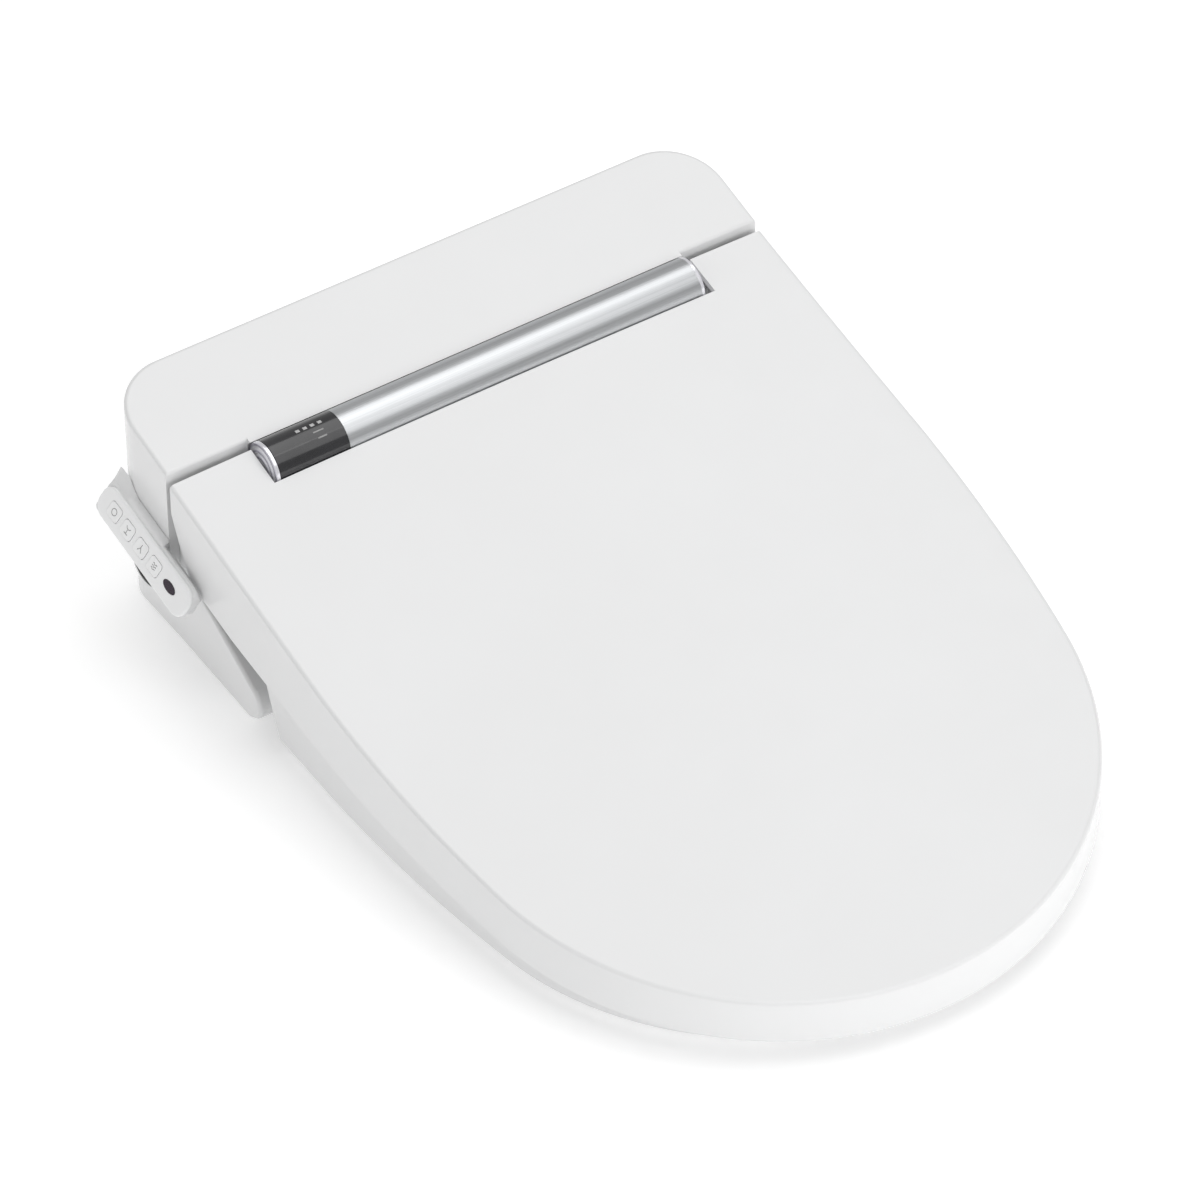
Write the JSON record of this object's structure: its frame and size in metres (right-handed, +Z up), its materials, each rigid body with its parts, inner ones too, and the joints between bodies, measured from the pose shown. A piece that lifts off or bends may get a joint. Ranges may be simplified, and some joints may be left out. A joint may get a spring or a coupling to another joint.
{
  "type": "electric bidet seat",
  "caption": "Electric bidet seat with a wedge-shaped closing lid over a seat ring, a rear body with a raised deck, a metal hinge bar and a side control arm.",
  "frame": {"origin": "midway between the two fixing slots, on the underside that rests on the toilet's rim", "axes": "+X to the right of a person who faces the seat from its front, +Y towards the tank at the back, +Z up; the front of the seat points along -Y"},
  "size_m": [0.4004, 0.5285, 0.1409],
  "materials": {
    "white_shell": "high gloss",
    "white_body": "gloss",
    "bar_metal": "brushed, anodised",
    "window_black": "polished smoke",
    "cap_chrome": "turned rings",
    "steel": "satin",
    "dark_plastic": "moulded",
    "grey_rubber": "moulded",
    "board_green": "solder resist",
    "nozzle_white": "gloss",
    "gear_plastic": "acetal",
    "brass": "machined",
    "hose_clear": "translucent",
    "heater_foil": "foil",
    "fascia_white": "satin gloss",
    "key_white": "satin",
    "lens_dark": "polished",
    "plate_grey": "moulded"
  },
  "bodies": {
    "base": {"base_housing": "white_body", "top_cover": "white_shell", "cover_screws": "steel", "bar_tube": "bar_metal", "bar_window": "window_black", "bar_cap_left": "cap_chrome", "bar_cap_right": "cap_chrome", "hinge_pins": "steel", "seat_damper": "dark_plastic", "lid_damper": "dark_plastic", "display_board": "board_green", "nozzle_motor": "steel", "nozzle_guide": "plate_grey", "blower_housing": "dark_plastic", "blower_motor": "steel", "dryer_duct": "plate_grey", "dryer_heater": "heater_foil", "inlet_cup": "dark_plastic", "inlet_fitting": "brass", "inlet_filter": "steel", "solenoid_valve": "dark_plastic", "water_heater": "plate_grey", "supply_hose": "hose_clear", "nozzle_hose": "hose_clear", "water_pump": "steel", "main_board": "board_green", "power_board": "board_green", "cable_gland": "grey_rubber", "panel_housing": "white_body", "panel_fascia": "fascia_white", "ir_lens": "lens_dark", "panel_board": "board_green"},
    "seat": {"seat_top_shell": "white_shell", "seat_bottom_shell": "white_body", "seat_bumpers": "grey_rubber", "seat_screws": "steel", "seat_heater": "heater_foil"},
    "lid": {"lid_shell": "white_shell", "lid_bumpers": "grey_rubber"},
    "spray_arm": {"nozzle_tube": "nozzle_white", "nozzle_tip": "steel", "nozzle_rack": "gear_plastic"},
    "arm_pinion": {"nozzle_pinion": "gear_plastic"},
    "fan": {"blower_impeller": "gear_plastic"},
    "flap": {"dryer_flap": "white_body"},
    "stop_key": {"button_stop": "key_white"},
    "rear_wash_key": {"button_rear_wash": "key_white"},
    "front_wash_key": {"button_front_wash": "key_white"},
    "dry_key": {"button_dry": "key_white"},
    "release": {"release_button": "plate_grey"},
    "bracket": {"mounting_plate": "plate_grey"}
  },
  "joints": [
    {"name": "seat_hinge", "type": "hinge", "parent": "base", "child": "seat", "pos_m": [0, -0.0255, 0.113], "axis": [-1, 0, 0], "range_deg": [0, 103]},
    {"name": "lid_hinge", "type": "hinge", "parent": "seat", "child": "lid", "pos_m": [0, -0.0255, 0.113], "axis": [1, 0, 0], "range_deg": [-105, 0]},
    {"name": "spray_arm_slide", "type": "slide", "parent": "base", "child": "spray_arm", "axis": [0, -0.8192, -0.5736], "range_m": [0, 0.09]},
    {"name": "pinion_spin", "type": "hinge", "parent": "base", "child": "arm_pinion", "pos_m": [0.019, -0.05525, 0.03432], "axis": [0, -0.5736, 0.8192], "range_deg": [0, 737]},
    {"name": "fan_spin", "type": "hinge", "parent": "base", "child": "fan", "pos_m": [-0.04, 0.021, 0.062], "axis": [1, 0, 0], "continuous": true},
    {"name": "flap_hinge", "type": "hinge", "parent": "base", "child": "flap", "pos_m": [-0.038, -0.0765, 0.0286], "axis": [-1, 0, 0], "range_deg": [0, 60]},
    {"name": "release_push", "type": "slide", "parent": "base", "child": "release", "axis": [-1, 0, 0], "range_m": [0, 0.003], "stiffness_N_per_m": 400},
    {"name": "bracket_slide", "type": "slide", "parent": "base", "child": "bracket", "axis": [0, 1, 0], "range_m": [0, 0.06]},
    {"name": "stop_press", "type": "slide", "parent": "base", "child": "stop_key", "axis": [0.871, 0.1047, -0.48], "range_m": [0, 0.0008], "stiffness_N_per_m": 300},
    {"name": "rear_wash_press", "type": "slide", "parent": "base", "child": "rear_wash_key", "axis": [0.871, 0.1047, -0.48], "range_m": [0, 0.0008], "stiffness_N_per_m": 300},
    {"name": "front_wash_press", "type": "slide", "parent": "base", "child": "front_wash_key", "axis": [0.871, 0.1047, -0.48], "range_m": [0, 0.0008], "stiffness_N_per_m": 300},
    {"name": "dry_press", "type": "slide", "parent": "base", "child": "dry_key", "axis": [0.871, 0.1047, -0.48], "range_m": [0, 0.0008], "stiffness_N_per_m": 300}
  ],
  "couplings": [
    {"joint": "pinion_spin", "follows": "spray_arm_slide", "rad_per_m": 142.86}
  ]
}
